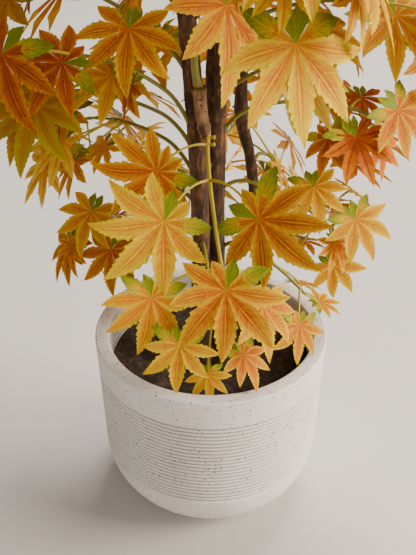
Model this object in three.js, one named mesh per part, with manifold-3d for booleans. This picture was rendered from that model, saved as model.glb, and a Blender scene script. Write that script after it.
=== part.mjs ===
// An artificial Japanese maple in a ribbed pot. Millimetres, +Z up, the front of the plant faces -Y.
// The origin is the centre of the pot's flat underside.
import * as THREE from "three";
import { mergeVertices } from "three/addons/utils/BufferGeometryUtils.js";
import Module from "manifold-3d";

const wasm = await Module();
wasm.setup();

const GAP = 0.3; // the clearance that neighbouring pieces keep

// The pot is a round tub with a flat rim, a ribbed wall and a rounded foot.
const POT_RADIUS = 100;
const POT_HEIGHT = 164;
const POT_SIDES = 32;
const WALL = 12;
const WALL_LEAN = 0.026; // how much narrower the wall gets for each millimetre below the rim
const RIM_EDGE = 1.5;
const FOOT_HEIGHT = 54;
const FOOT_STEPS = 5;
const BASE_RADIUS = 50;
const GROOVES = 22;
const GROOVE_TOP = 136;
const GROOVE_PITCH = 3.92;
const GROOVE_DEPTH = 1;
const FLOOR = 14;

// The soil fills the pot to a little below its rim, and is flat where the stems stand in it.
const SOIL_TOP = 134;
const SOIL_RINGS = [34, 56, 74];
const SOIL_LUMP = 2.4;
const LUMP_SIZE = 17;
const STEM_START = SOIL_TOP - 6; // the stems are drawn from here, and cut flat just above the soil
const STEM_FEET = [
  [0, 0, 26],
  [50, 36, 40],
];

// The leaf has seven lobes: the angle of each from the middle one, and its share of the leaf's radius.
const LOBES = [
  [121, 0.64],
  [80, 0.8],
  [40, 0.93],
  [0, 1],
  [-40, 0.93],
  [-80, 0.8],
  [-121, 0.64],
];
const NOTCH = 0.48; // share of the radius at which two lobes part
const HEEL = 0.28; // the same where the leaf stalk comes in
const TIP_DROP = 0.17; // how far the tips hang below the palm
const LOBE_VARIES = 0.07;
const LEAF_FRONT = 0.7; // thickness in front of and behind the palm's centre
const LEAF_BACK = 2;
const LEAF_RADIUS = 52;

// Twigs and leaf stalks are three-sided.
const TWIG_SIDES = 3;
const TWIG_STEPS = 4;
const TWIG_FOOT = 2.6;
const TWIG_TIP = 2.3;
const STALK_RADIUS = 1.5;
const STALK_FOOT = 0.7; // where it is sunk in the stem
const LAST_FOOT = 0.96; // no stalk starts nearer to the stem's tip than this share of its length
const STALK_RISE = 0.12; // how far a stalk arches, as a share of its length
const LONG_STALK = 55; // a longer one has a bend in it

// How a mass grows: pairs of stalks stand along its stem, and a last leaf ends it.
const PAIRS_FROM = 0.3;
const PAIRS_TO = 0.93;
const STALK_FORWARD = 0.5;
const STALK_REACH = [0.75, 1.25]; // length of a stalk, as a share of the leaf's radius
const LEAF_SHARE = [0.8, 1.1]; // size of a grown leaf, as a share of LEAF_RADIUS
const LEAF_DIP = [30, 68];
const LEAF_TURN = 32;
const LEAF_ROLL = 28;
const CROWDED = 0.5; // two palms of one mass never come nearer than this share of the radius
const CLEARANCE = 2.5; // between a leaf or stalk and a limb or another mass's stem
const LEAF_APART = 4.6; // between the samples of any two leaves
const LOWEST_LEAF = POT_HEIGHT + 6;

const LIMB_SIDES = 8;
const LIMB_STEP = 30; // length of one straight stretch of a limb
const SAMPLE_STEP = 5;
const STALK_SAMPLES = 9;

const COLOURS = {
  pot: 0xd9d4cc,
  soil: 0x3a2a20,
  bark: 0x4a2f1e,
  amber: 0xdf8a1c,
  gold: 0xe7b02c,
  rust: 0xcf5f1a,
  peach: 0xeebf77,
};

// The limbs are runs of points with the radius at each. The two trunks stand side by side at the middle of
// the pot, and a thinner stem stands behind them. The others are boughs, and "root" is the limb each leaves.
const LIMBS = {
  trunk_left: {
    points: [
      [-9, -7, STEM_START],
      [-9, -7, 146],
      [-9, -6, 200],
      [-8.5, -5, 273],
      [-11, -5, 344],
      [-16, -5, 414],
      [-24, -2, 490],
      [-34, 4, 570],
      [-40, 8, 640],
    ],
    radii: [11, 7.8, 7.4, 7.2, 7, 6.6, 6.2, 5.2, 4.2],
  },
  trunk_right: {
    points: [
      [8, 8, STEM_START],
      [8, 8, 146],
      [5, 8, 200],
      [3.5, 8, 273],
      [3.5, 8, 344],
      [4, 8, 400],
      [10, 9, 480],
      [19, 14, 570],
      [22, 16, 660],
      [19, 14, 720],
    ],
    radii: [11, 8, 7.7, 7.6, 7.6, 7.4, 6.8, 5.8, 4.8, 4],
  },
  back_stem: {
    points: [
      [50, 36, STEM_START],
      [49, 36, 144],
      [44, 36, 210],
      [35, 35, 283],
      [31, 35, 310],
      [24, 35, 341],
      [24, 36, 386],
      [28, 44, 450],
      [40, 58, 520],
    ],
    radii: [8, 5.2, 4.8, 4.6, 4.6, 5.4, 4.2, 3.8, 3.2],
  },
  front_branch: {
    root: "trunk_right",
    points: [
      [3, 4, 332],
      [-2, -11, 343],
      [-6, -18.5, 362],
      [-9, -19.5, 384],
    ],
    radii: [5, 4.8, 4.7, 4.9],
  },
  bough_left: {
    root: "trunk_left",
    points: [
      [-18, -4, 432],
      [-45, -18, 470],
      [-78, -34, 520],
      [-98, -44, 560],
    ],
    radii: [4.6, 4.2, 3.6, 3],
  },
  bough_back_left: {
    root: "trunk_left",
    points: [
      [-24, -2, 492],
      [-44, 28, 530],
      [-66, 62, 575],
      [-78, 84, 610],
    ],
    radii: [4.4, 4, 3.4, 2.8],
  },
  bough_top_left: {
    root: "trunk_left",
    points: [
      [-35, 5, 580],
      [-60, -12, 620],
      [-80, -30, 664],
    ],
    radii: [4, 3.5, 2.8],
  },
  bough_right: {
    root: "trunk_right",
    points: [
      [6, 8, 440],
      [40, -4, 480],
      [76, -16, 530],
      [98, -24, 574],
    ],
    radii: [4.6, 4.2, 3.6, 3],
  },
  bough_front: {
    root: "trunk_right",
    points: [
      [11, 9, 492],
      [12, -28, 532],
      [10, -64, 582],
      [8, -84, 620],
    ],
    radii: [4.4, 4, 3.4, 2.8],
  },
  bough_back_right: {
    root: "trunk_right",
    points: [
      [15, 12, 540],
      [42, 40, 580],
      [66, 66, 630],
    ],
    radii: [4.2, 3.6, 2.8],
  },
  bough_top_right: {
    root: "trunk_right",
    points: [
      [22, 16, 640],
      [50, -2, 680],
      [68, -14, 722],
    ],
    radii: [3.8, 3.3, 2.6],
  },
};

// The masses of foliage. The stem of each leaves its limb at the height "from", or at the limb's tip, and
// ends at "end"; "bend" moves the middle of the stem off the straight line. A mass keeps to the space that is
// nearer to its heart than to any other mass's, and a heart that isn't given is near the end of the stem.
// "pairs" of leaves are grown by rule. "leaves" are placed by hand, where the front of the plant shows them
// one by one: the share of the stem at which the stalk leaves it, the place of the palm, then the heading and
// the dip of the middle lobe, the roll about it, all in degrees, and the radius.
const MASSES = [
  {
    name: "foliage_front_low",
    limb: "front_branch",
    from: 346,
    end: [9, -120, 281],
    bend: [-8, 16, 24],
    heart: [0, -130, 292],
    tint: "amber",
    leaves: [
      [0.14, [-38, -50, 334], -165, 37, -75, 48],
      [0.45, [-32, -90, 316], -150, 42, -62, 54],
      [0.45, [31, -90, 318], -32, 35, 66, 55],
      [1, [9, -120, 281], -90, 55, 0, 52],
    ],
  },
  {
    name: "foliage_foot",
    limb: "trunk_left",
    from: 262,
    end: [2, -60, 216],
    bend: [0, -10, 20],
    heart: [0, -52, 212],
    tint: "amber",
    leaves: [
      [0.5, [-46, -50, 228], -116, 68, -40, 48],
      [0.9, [-24, -80, 205], -104, 65, -15, 38],
      [0.6, [39, -58, 227], -77, 42, -20, 43],
      [1, [25, -72, 190], -50, 42, 0, 30],
      [1, [-3, -60, 160], -80, 35, 0, 25],
    ],
  },
  {
    name: "foliage_foot_right",
    limb: "trunk_right",
    from: 250,
    end: [81, -12, 202],
    bend: [0, -6, 24],
    heart: [84, -18, 190],
    tint: "gold",
    leaves: [
      [0.9, [72, -34, 190], -94, 52, -30, 32],
      [1, [92, 0, 190], 24, 12, 12, 24],
      [0.66, [78, 14, 200], 60, 20, 0, 24],
    ],
  },
  {
    name: "foliage_left_low",
    limb: "trunk_left",
    from: 300,
    end: [-112, 48, 236],
    bend: [0, 0, 24],
    tint: "amber",
    leaves: [
      [0.75, [-100, 32, 260], -125, 50, -10, 40],
      [1, [-124, 50, 219], -150, 52, 0, 42],
      [0.95, [-86, 30, 224], -95, 56, 10, 40],
    ],
    pairs: 4,
  },
  {
    name: "foliage_right_low",
    limb: "trunk_right",
    from: 305,
    end: [112, 40, 232],
    bend: [0, -8, 26],
    tint: "gold",
    leaves: [
      [0.95, [106, 30, 209], -19, 46, 60, 35],
      [0.9, [120, 24, 257], -40, 48, 30, 40],
      [0.7, [85, 34, 282], -75, 46, 10, 38],
    ],
    pairs: 3,
  },
  {
    name: "foliage_back_low_left",
    limb: "trunk_left",
    from: 288,
    end: [-44, 104, 268],
    bend: [0, 0, 22],
    tint: "peach",
    pairs: 5,
  },
  {
    name: "foliage_back_low_right",
    limb: "back_stem",
    from: 306,
    end: [66, 118, 256],
    bend: [0, 0, 22],
    tint: "peach",
    pairs: 5,
  },
  {
    name: "foliage_left_front",
    limb: "trunk_left",
    from: 358,
    end: [-92, -58, 418],
    bend: [0, 0, 22],
    heart: [-86, -70, 424],
    tint: "rust",
    leaves: [
      [0.95, [-94, -62, 414], -165, 12, -36, 45],
      [0.7, [-53, -42, 430], -100, 50, -10, 44],
    ],
    pairs: 2,
  },
  {
    name: "foliage_left",
    limb: "trunk_left",
    from: 344,
    end: [-118, 6, 372],
    bend: [0, 0, 22],
    heart: [-112, 8, 372],
    tint: "gold",
    leaves: [
      [0.55, [-71, 0, 386], -100, 31, -14, 41],
      [0.85, [-113, 20, 354], -130, 40, 0, 40],
      [1, [-138, 0, 362], -160, 40, -20, 46],
    ],
    pairs: 2,
  },
  {
    name: "foliage_left_back",
    limb: "trunk_left",
    from: 322,
    end: [-112, 92, 318],
    bend: [0, 0, 24],
    tint: "peach",
    pairs: 5,
  },
  {
    name: "foliage_right_front",
    limb: "trunk_right",
    from: 366,
    end: [54, -60, 414],
    bend: [4, 0, 14],
    heart: [60, -78, 412],
    tint: "peach",
    leaves: [
      [1, [54, -60, 412], -135, 86, 0, 50],
      [0.8, [72, -36, 428], 20, 20, 30, 40],
    ],
    pairs: 2,
  },
  {
    name: "foliage_right",
    limb: "trunk_right",
    from: 350,
    end: [122, 8, 352],
    bend: [0, 0, 26],
    heart: [114, 8, 348],
    tint: "rust",
    leaves: [
      [0.7, [88, 0, 339], -30, 58, 60, 32],
      [1, [137, 0, 360], -20, 40, 30, 44],
      [0.9, [130, 22, 329], 10, 50, 40, 38],
    ],
    pairs: 2,
  },
  {
    name: "foliage_right_back",
    limb: "back_stem",
    from: 345,
    end: [114, 92, 318],
    bend: [0, 0, 24],
    tint: "amber",
    pairs: 5,
  },
  {
    name: "foliage_front",
    limb: "front_branch",
    end: [8, -78, 452],
    bend: [-18, 14, 4],
    heart: [-8, -84, 448],
    tint: "rust",
    leaves: [[1, [8, -80, 453], -80, 50, -30, 56]],
    pairs: 3,
  },
  {
    name: "foliage_back",
    limb: "trunk_right",
    from: 372,
    end: [6, 112, 384],
    bend: [0, 0, 24],
    tint: "amber",
    pairs: 5,
  },
  {
    name: "foliage_right_out",
    limb: "trunk_right",
    from: 412,
    end: [108, -40, 444],
    bend: [0, 0, 22],
    tint: "gold",
    leaves: [[0.95, [116, -42, 438], -40, 40, 20, 50]],
    pairs: 3,
  },
  {
    name: "foliage_left_out",
    limb: "trunk_left",
    from: 404,
    end: [-168, 4, 470],
    bend: [0, 0, 22],
    tint: "amber",
    pairs: 5,
  },
  {
    name: "foliage_left_front_out",
    limb: "trunk_left",
    from: 446,
    end: [-112, -100, 540],
    bend: [0, 0, 26],
    tint: "rust",
    pairs: 5,
  },
  {
    name: "foliage_front_out",
    limb: "trunk_right",
    from: 446,
    end: [30, -148, 506],
    bend: [0, 0, 24],
    tint: "gold",
    pairs: 5,
  },
  {
    name: "foliage_right_side",
    limb: "trunk_right",
    from: 402,
    end: [176, 32, 452],
    bend: [0, 0, 22],
    tint: "amber",
    pairs: 5,
  },
  {
    name: "foliage_right_rear",
    limb: "back_stem",
    end: [126, 118, 528],
    bend: [0, 0, 16],
    tint: "rust",
    pairs: 5,
  },
  {
    name: "foliage_back_out",
    limb: "trunk_right",
    from: 456,
    end: [-6, 164, 500],
    bend: [0, 0, 24],
    tint: "gold",
    pairs: 5,
  },
  {
    name: "foliage_left_rear",
    limb: "trunk_left",
    from: 440,
    end: [-126, 104, 466],
    bend: [0, 0, 22],
    tint: "amber",
    pairs: 5,
  },
  {
    name: "foliage_high_left",
    limb: "bough_left",
    end: [-176, -68, 596],
    bend: [0, 0, 14],
    tint: "amber",
    pairs: 5,
  },
  {
    name: "foliage_high_front",
    limb: "bough_front",
    end: [-14, -152, 648],
    bend: [0, 0, 14],
    tint: "rust",
    pairs: 5,
  },
  {
    name: "foliage_high_front_right",
    limb: "trunk_right",
    from: 520,
    end: [104, -110, 588],
    bend: [0, 0, 22],
    tint: "amber",
    pairs: 5,
  },
  {
    name: "foliage_high_right",
    limb: "bough_right",
    end: [178, -24, 600],
    bend: [0, 0, 16],
    tint: "gold",
    pairs: 5,
  },
  {
    name: "foliage_high_back_right",
    limb: "bough_back_right",
    end: [104, 116, 672],
    bend: [0, 0, 12],
    tint: "amber",
    pairs: 5,
  },
  {
    name: "foliage_high_back",
    limb: "trunk_right",
    from: 568,
    end: [6, 148, 618],
    bend: [0, 0, 22],
    tint: "rust",
    pairs: 5,
  },
  {
    name: "foliage_high_back_left",
    limb: "bough_back_left",
    end: [-132, 128, 622],
    bend: [0, 0, 14],
    tint: "gold",
    pairs: 5,
  },
  {
    name: "foliage_upper_left",
    limb: "bough_top_left",
    end: [-126, -48, 724],
    bend: [0, 0, 12],
    tint: "gold",
    pairs: 5,
  },
  {
    name: "foliage_upper_right",
    limb: "bough_top_right",
    end: [118, -26, 752],
    bend: [0, 0, 14],
    tint: "amber",
    pairs: 5,
  },
  {
    name: "foliage_upper_front",
    limb: "trunk_right",
    from: 668,
    end: [8, -88, 762],
    bend: [0, 0, 16],
    tint: "peach",
    pairs: 5,
  },
  {
    name: "foliage_upper_back",
    limb: "trunk_right",
    from: 676,
    end: [38, 92, 752],
    bend: [0, 0, 16],
    tint: "amber",
    pairs: 5,
  },
  {
    name: "foliage_upper_back_left",
    limb: "trunk_left",
    end: [-74, 66, 738],
    bend: [0, 0, 8],
    tint: "rust",
    pairs: 5,
  },
  {
    name: "foliage_top",
    limb: "trunk_right",
    end: [4, 6, 838],
    bend: [6, 0, 0],
    tint: "amber",
    pairs: 5,
  },
];

const radians = THREE.MathUtils.degToRad;
const point = (list) => new THREE.Vector3(...list);
const between = ([low, high], share) => low + (high - low) * share;
const UP = new THREE.Vector3(0, 0, 1);

// A number from 0 to 1 that is always the same for the same whole numbers.
function chance(...keys) {
  let h = 2166136261;
  for (const key of keys) {
    h = Math.imul(h ^ key, 16777619);
    h ^= h >>> 13;
  }
  h = Math.imul(h ^ (h >>> 15), 2246822519);
  h ^= h >>> 13;
  return (h >>> 0) / 4294967296;
}

// The same, spread evenly from -most to most.
const sway = (most, ...keys) => most * (2 * chance(...keys) - 1);

// A closed geometry as a solid that can be joined and cut.
function solid(geometry) {
  const bare = geometry.clone();
  bare.deleteAttribute("normal");
  bare.deleteAttribute("uv");
  const merged = mergeVertices(bare, 1e-4);
  return new wasm.Manifold(
    new wasm.Mesh({
      numProp: 3,
      vertProperties: new Float32Array(merged.attributes.position.array),
      triVerts: new Uint32Array(merged.index.array),
    }),
  );
}

// The largest body of a solid as a geometry, so that loose scraps and sealed hollows are left behind.
function largestBody(made) {
  const bodies = made.decompose().sort((a, b) => b.volume() - a.volume());
  const kept = bodies[0].getMesh();
  const geometry = new THREE.BufferGeometry();
  geometry.setAttribute("position", new THREE.BufferAttribute(kept.vertProperties.slice(), 3));
  geometry.setIndex(new THREE.BufferAttribute(kept.triVerts.slice(), 1));
  geometry.computeVertexNormals();
  return geometry;
}

function named(name, geometry, colour, roughness) {
  const material = new THREE.MeshStandardMaterial({ color: colour, roughness, metalness: 0 });
  const made = new THREE.Mesh(geometry, material);
  made.name = name;
  return made;
}

// A cylinder bent along a curve, with its radius given for each share of the length.
function bent(curve, radiusAt, sides, steps) {
  const geometry = new THREE.CylinderGeometry(1, 1, 1, sides, steps);
  const position = geometry.attributes.position;
  const frames = curve.computeFrenetFrames(steps, false);
  const spot = new THREE.Vector3();
  for (let i = 0; i < position.count; i++) {
    const share = position.getY(i) + 0.5;
    const step = Math.round(share * steps);
    const radius = radiusAt(share);
    curve.getPointAt(share, spot);
    spot.addScaledVector(frames.normals[step], position.getX(i) * radius);
    spot.addScaledVector(frames.binormals[step], -position.getZ(i) * radius);
    position.setXYZ(i, spot.x, spot.y, spot.z);
  }
  return geometry;
}

// The pot's outer radius at a height, without its grooves.
function wallRadius(z) {
  const wall = POT_RADIUS - WALL_LEAN * (POT_HEIGHT - Math.max(z, FOOT_HEIGHT));
  if (z >= FOOT_HEIGHT) return wall;
  const below = 1 - z / FOOT_HEIGHT;
  return BASE_RADIUS + (wall - BASE_RADIUS) * Math.sqrt(1 - below * below);
}

// Heights of the inner wall's corners, from the floor up.
const INSIDE = [FLOOR, 22, 36, FOOT_HEIGHT + 8, POT_HEIGHT];

function insideRadius(z) {
  return wallRadius(z) - WALL - (z < 30 ? 6 : 0);
}

function pot() {
  const profile = [[0, 0]];
  for (let i = 0; i < FOOT_STEPS; i++) {
    const z = FOOT_HEIGHT * (1 - Math.cos((i / FOOT_STEPS) * (Math.PI / 2)));
    profile.push([wallRadius(z), z]);
  }
  for (let i = GROOVES - 1; i >= 0; i--) {
    const z = GROOVE_TOP - i * GROOVE_PITCH;
    profile.push([wallRadius(z) - GROOVE_DEPTH, z]);
    if (i > 0) profile.push([wallRadius(z + GROOVE_PITCH / 2), z + GROOVE_PITCH / 2]);
  }
  profile.push([wallRadius(GROOVE_TOP + GROOVE_DEPTH), GROOVE_TOP + GROOVE_DEPTH]);
  profile.push([POT_RADIUS, POT_HEIGHT - RIM_EDGE]);
  profile.push([POT_RADIUS - RIM_EDGE, POT_HEIGHT]);
  for (const z of [...INSIDE].reverse()) profile.push([insideRadius(z), z]);
  profile.push([0, FLOOR]);
  return lathe(profile);
}

// A profile of radius and height turned about the upright axis.
function lathe(profile) {
  const corners = profile.map(([r, z]) => new THREE.Vector2(r, z));
  return new THREE.LatheGeometry(corners, POT_SIDES).rotateX(Math.PI / 2);
}

// How far the soil rises above its flat level.
function lump(x, y) {
  let rise = SOIL_LUMP * Math.sin(x / LUMP_SIZE + 1) * Math.sin(y / LUMP_SIZE + 2);
  for (const [footX, footY, reach] of STEM_FEET) {
    const away = Math.hypot(x - footX, y - footY) / reach;
    rise *= THREE.MathUtils.smoothstep(away, 0.8, 1.4);
  }
  return rise;
}

function soil() {
  const profile = [[0, FLOOR + GAP]];
  for (const z of INSIDE.slice(0, -1)) profile.push([insideRadius(z) - GAP, Math.max(z, FLOOR + GAP)]);
  const edge = THREE.MathUtils.lerp(
    insideRadius(INSIDE.at(-2)),
    insideRadius(POT_HEIGHT),
    (SOIL_TOP - INSIDE.at(-2)) / (POT_HEIGHT - INSIDE.at(-2)),
  );
  profile.push([edge - GAP, SOIL_TOP]);
  for (const r of [...SOIL_RINGS].reverse()) profile.push([r, SOIL_TOP]);
  profile.push([0, SOIL_TOP]);
  const geometry = lathe(profile);
  const position = geometry.attributes.position;
  for (let i = 0; i < position.count; i++) {
    const x = position.getX(i);
    const y = position.getY(i);
    if (position.getZ(i) < SOIL_TOP - 1 || Math.hypot(x, y) > edge - 1) continue;
    position.setZ(i, SOIL_TOP + lump(x, y));
  }
  return geometry;
}

// A limb's points as a smooth curve, grown past both ends by "longer".
function limbCurve({ points }, longer) {
  const run = points.map(point);
  const start = run[0].clone().sub(run[1]).setLength(longer);
  const end = run.at(-1).clone().sub(run.at(-2)).setLength(longer);
  run[0].add(start);
  run.at(-1).add(end);
  return new THREE.CatmullRomCurve3(run, false, "centripetal");
}

// A limb as a solid, "fatter" all over than its own size.
function limbSolid(limb, fatter = 0) {
  const curve = limbCurve(limb, fatter);
  const stretches = limb.points.slice(1).map((p, i) => point(p).distanceTo(point(limb.points[i])));
  const length = stretches.reduce((sum, part) => sum + part, 0);
  const ends = [0];
  for (const part of stretches) ends.push(ends.at(-1) + part / length);
  const radiusAt = (share) => {
    const i = Math.max(1, ends.findIndex((end) => end >= share - 1e-6));
    const along = (share - ends[i - 1]) / (ends[i] - ends[i - 1]);
    return THREE.MathUtils.lerp(limb.radii[i - 1], limb.radii[i], along) + fatter;
  };
  const steps = Math.max(3, Math.round(length / LIMB_STEP));
  return solid(bent(curve, radiusAt, LIMB_SIDES, steps));
}

// The point of a limb at a height, or its tip.
function limbPoint({ points }, height = points.at(-1)[2]) {
  const i = Math.max(1, points.findIndex((p) => p[2] >= height));
  const share = (height - points[i - 1][2]) / (points[i][2] - points[i - 1][2]);
  return point(points[i - 1]).lerp(point(points[i]), share);
}

function stemCurve(mass) {
  const foot = limbPoint(LIMBS[mass.limb], mass.from);
  const end = point(mass.end);
  const middle = foot.clone().lerp(end, 0.5).add(point(mass.bend));
  return new THREE.QuadraticBezierCurve3(foot, middle, end);
}

// A leaf's own axes: along its middle lobe, across it, and the way its upper face looks.
function leafAxes(heading, dip, roll) {
  const h = radians(heading);
  const d = radians(dip);
  const along = point([Math.cos(h) * Math.cos(d), Math.sin(h) * Math.cos(d), -Math.sin(d)]);
  const face = point([Math.cos(h) * Math.sin(d), Math.sin(h) * Math.sin(d), Math.cos(d)]);
  face.applyAxisAngle(along, radians(roll));
  return { along, face, across: along.clone().cross(face) };
}

// The corners of a leaf's rim: the heel, then each lobe's tip and the notch after it.
function leafRim({ palm, axes, radius, seed }) {
  const rim = [[180, HEEL]];
  LOBES.forEach(([angle, share], i) => {
    rim.push([angle, share * (1 + sway(LOBE_VARIES, seed, i))]);
    if (i < LOBES.length - 1) rim.push([(angle + LOBES[i + 1][0]) / 2, NOTCH]);
  });
  return rim.map(([angle, share]) => {
    const r = radius * share;
    const corner = palm.clone().addScaledVector(axes.across, r * Math.sin(radians(angle)));
    corner.addScaledVector(axes.along, r * Math.cos(radians(angle)));
    return corner.addScaledVector(axes.face, -TIP_DROP * r * share);
  });
}

// The stalk's line, from just behind the palm back to the stem.
function stalkCurve(leaf) {
  const start = leaf.palm.clone().addScaledVector(leaf.axes.face, -LEAF_BACK);
  const length = leaf.root.distanceTo(start);
  const middle = leaf.root.clone().lerp(start, 0.5).addScaledVector(UP, STALK_RISE * length);
  return new THREE.QuadraticBezierCurve3(start, middle, leaf.root);
}

// A leaf and its stalk as one closed skin: the upper side fans out from the palm to the rim, the lower side
// runs from the rim to the three corners of the stalk, and the stalk goes on to the stem.
function leafGeometry(leaf) {
  const rim = leafRim(leaf);
  const curve = stalkCurve(leaf);
  const steps = curve.getLength() > LONG_STALK ? 2 : 1;
  const corners = [...rim, leaf.palm.clone().addScaledVector(leaf.axes.face, LEAF_FRONT)];
  for (let step = 0; step <= steps; step++) {
    const centre = curve.getPoint(step / steps);
    const radius = THREE.MathUtils.lerp(STALK_RADIUS, STALK_FOOT, step / steps);
    const away = curve.getTangent(step / steps);
    const flat = step ? away : leaf.axes.face.clone().negate();
    const side = leaf.axes.across.clone().addScaledVector(flat, -flat.dot(leaf.axes.across)).normalize();
    const other = side.clone().cross(flat);
    for (let j = 0; j < 3; j++) {
      const turn = radians(120 * j - 90);
      const corner = centre.clone().addScaledVector(side, radius * Math.cos(turn));
      corners.push(corner.addScaledVector(other, radius * Math.sin(turn)));
    }
  }
  const top = rim.length;
  const ring = (step, j) => top + 1 + 3 * step + (j % 3);
  const faces = [];
  rim.forEach((_, i) => {
    const next = (i + 1) % rim.length;
    const [here, there] = [i, i + 1].map((k) => Math.round((3 * k) / rim.length));
    faces.push([top, i, next], [next, i, ring(0, here)]);
    if (there !== here) faces.push([next, ring(0, here), ring(0, there)]);
  });
  for (let step = 0; step < steps; step++) {
    for (let j = 0; j < 3; j++) {
      faces.push([ring(step, j), ring(step + 1, j), ring(step + 1, j + 1)]);
      faces.push([ring(step, j), ring(step + 1, j + 1), ring(step, j + 1)]);
    }
  }
  faces.push([ring(steps, 0), ring(steps, 2), ring(steps, 1)]);
  return new THREE.BufferGeometry().setFromPoints(corners).setIndex(faces.flat());
}

// Points spread over a leaf and along its stalk, to test what they would touch.
function samples(leaf) {
  const rim = leafRim(leaf);
  const found = [...rim, leaf.palm, ...stalkCurve(leaf).getPoints(STALK_SAMPLES).slice(0, -2)];
  const rounds = Math.ceil(leaf.radius / SAMPLE_STEP);
  rim.forEach((a, i) => {
    const b = rim[(i + 1) % rim.length];
    for (let j = 0; j < rounds; j++) {
      const across = Math.ceil((a.distanceTo(b) * (1 - j / rounds)) / SAMPLE_STEP);
      for (let k = j ? 0 : 1; k < across; k++) {
        found.push(a.clone().lerp(b, k / across).lerp(leaf.palm, j / rounds));
      }
    }
  });
  return found;
}

// How far a point is from a run of points, less the radius there.
function runDistance(spot, { run, radii }) {
  let least = Infinity;
  const line = new THREE.Line3();
  for (let i = 1; i < run.length; i++) {
    line.set(run[i - 1], run[i]);
    const share = line.closestPointToPointParameter(spot, true);
    const radius = THREE.MathUtils.lerp(radii[i - 1], radii[i], share);
    least = Math.min(least, line.at(share, new THREE.Vector3()).distanceTo(spot) - radius);
  }
  return least;
}

// The leaves that a mass grows by rule: pairs of stalks along its stem, and one leaf at its end.
function grownLeaves(mass, seed) {
  const curve = stemCurve(mass);
  const grown = [];
  const grow = (share, toward, keys) => {
    const root = curve.getPoint(Math.min(share, LAST_FOOT));
    const radius = LEAF_RADIUS * between(LEAF_SHARE, chance(...keys, 1));
    const reach = radius * between(STALK_REACH, chance(...keys, 2));
    const palm = root.clone().addScaledVector(toward, reach);
    const out = toward.clone().add(new THREE.Vector3(palm.x, palm.y, 0).setLength(0.7));
    const heading = THREE.MathUtils.radToDeg(Math.atan2(out.y, out.x)) + sway(LEAF_TURN, ...keys, 3);
    const dip = between(LEAF_DIP, chance(...keys, 4));
    const axes = leafAxes(heading, dip, sway(LEAF_ROLL, ...keys, 5));
    grown.push({ root, palm, axes, radius, seed: 100 * seed + grown.length });
  };
  grow(1, curve.getTangent(1), [seed, 99]);
  for (let i = 0; i < mass.pairs; i++) {
    const share = PAIRS_TO - ((PAIRS_TO - PAIRS_FROM) * (i + 0.5)) / mass.pairs;
    const tangent = curve.getTangent(share);
    const side = new THREE.Vector3().crossVectors(tangent, UP).normalize();
    const turned = radians(between([-50, 50], chance(seed, i, 6)) + (i % 2 ? 60 : 0));
    side.applyAxisAngle(tangent, turned);
    for (const hand of [1, -1]) {
      const toward = side.clone().multiplyScalar(hand).addScaledVector(tangent, STALK_FORWARD);
      grow(share, toward.normalize(), [seed, i, hand + 2]);
    }
  }
  return grown;
}

function placedLeaves(mass, seed) {
  const curve = stemCurve(mass);
  return (mass.leaves ?? []).map(([share, palm, heading, dip, roll, radius], i) => ({
    root: curve.getPoint(Math.min(share, LAST_FOOT)),
    palm: point(palm),
    axes: leafAxes(heading, dip, roll),
    radius,
    seed: 100 * seed + 50 + i,
  }));
}

// What a grown leaf must keep clear of: every limb, and the stem of every other mass.
function obstacles(mass) {
  const limbs = Object.values(LIMBS).map(({ points, radii }) => ({ run: points.map(point), radii }));
  const stems = MASSES.filter((other) => other !== mass).map((other) => ({
    run: stemCurve(other).getPoints(TWIG_STEPS),
    radii: new Array(TWIG_STEPS + 1).fill(TWIG_FOOT),
  }));
  return [...limbs, ...stems];
}

const heartOf = (mass) => (mass.heart ? point(mass.heart) : stemCurve(mass).getPoint(0.85));

// True if two sets of samples come nearer than LEAF_APART.
function touch(one, two) {
  return one.some((p) => two.some((q) => p.distanceToSquared(q) < LEAF_APART * LEAF_APART));
}

// Every mass's leaves. A grown leaf is skipped where it would crowd its own mass, leave its mass's space,
// reach too low, or touch a limb, another mass's stem or another leaf.
function allLeaves() {
  const hearts = MASSES.map(heartOf);
  const standing = MASSES.map((mass, i) => placedLeaves(mass, i + 1));
  for (const leaf of standing.flat()) leaf.samples = samples(leaf);
  MASSES.forEach((mass, i) => {
    const around = obstacles(mass);
    for (const leaf of mass.pairs ? grownLeaves(mass, i + 1) : []) {
      const apart = (other) => other.palm.distanceTo(leaf.palm);
      if (standing[i].some((other) => apart(other) < CROWDED * LEAF_RADIUS)) continue;
      const own = leaf.palm.distanceTo(hearts[i]);
      if (hearts.some((heart, j) => j !== i && leaf.palm.distanceTo(heart) < own)) continue;
      leaf.samples = samples(leaf);
      if (leaf.samples.some((p) => p.z < LOWEST_LEAF)) continue;
      if (leaf.samples.some((p) => around.some((run) => runDistance(p, run) < CLEARANCE))) continue;
      const near = standing.flat().filter((other) => apart(other) < 3 * LEAF_RADIUS);
      if (near.some((other) => touch(leaf.samples, other.samples))) continue;
      standing[i].push(leaf);
    }
  });
  return standing;
}

// A mass as one solid: its stem, its stalks and its leaves, cut clear of the limbs.
function massSolid(mass, leaves, clear) {
  const curve = stemCurve(mass);
  const stemRadius = (share) => THREE.MathUtils.lerp(TWIG_FOOT, TWIG_TIP, share);
  const pieces = [solid(bent(curve, stemRadius, TWIG_SIDES, TWIG_STEPS))];
  for (const leaf of leaves) {
    pieces.push(solid(leafGeometry(leaf)));
  }
  return wasm.Manifold.union(pieces).subtract(clear);
}

const plant = new THREE.Group();
plant.add(named("pot", pot(), COLOURS.pot, 0.75));
plant.add(named("soil", soil(), COLOURS.soil, 0.95));

const grownLimbs = [];
for (const [name, limb] of Object.entries(LIMBS)) {
  let made = limbSolid(limb).trimByPlane([0, 0, 1], SOIL_TOP + GAP);
  for (const other of grownLimbs) made = made.subtract(other);
  plant.add(named(name, largestBody(made), COLOURS.bark, 0.85));
  grownLimbs.push(limbSolid(limb, GAP));
}

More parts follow.
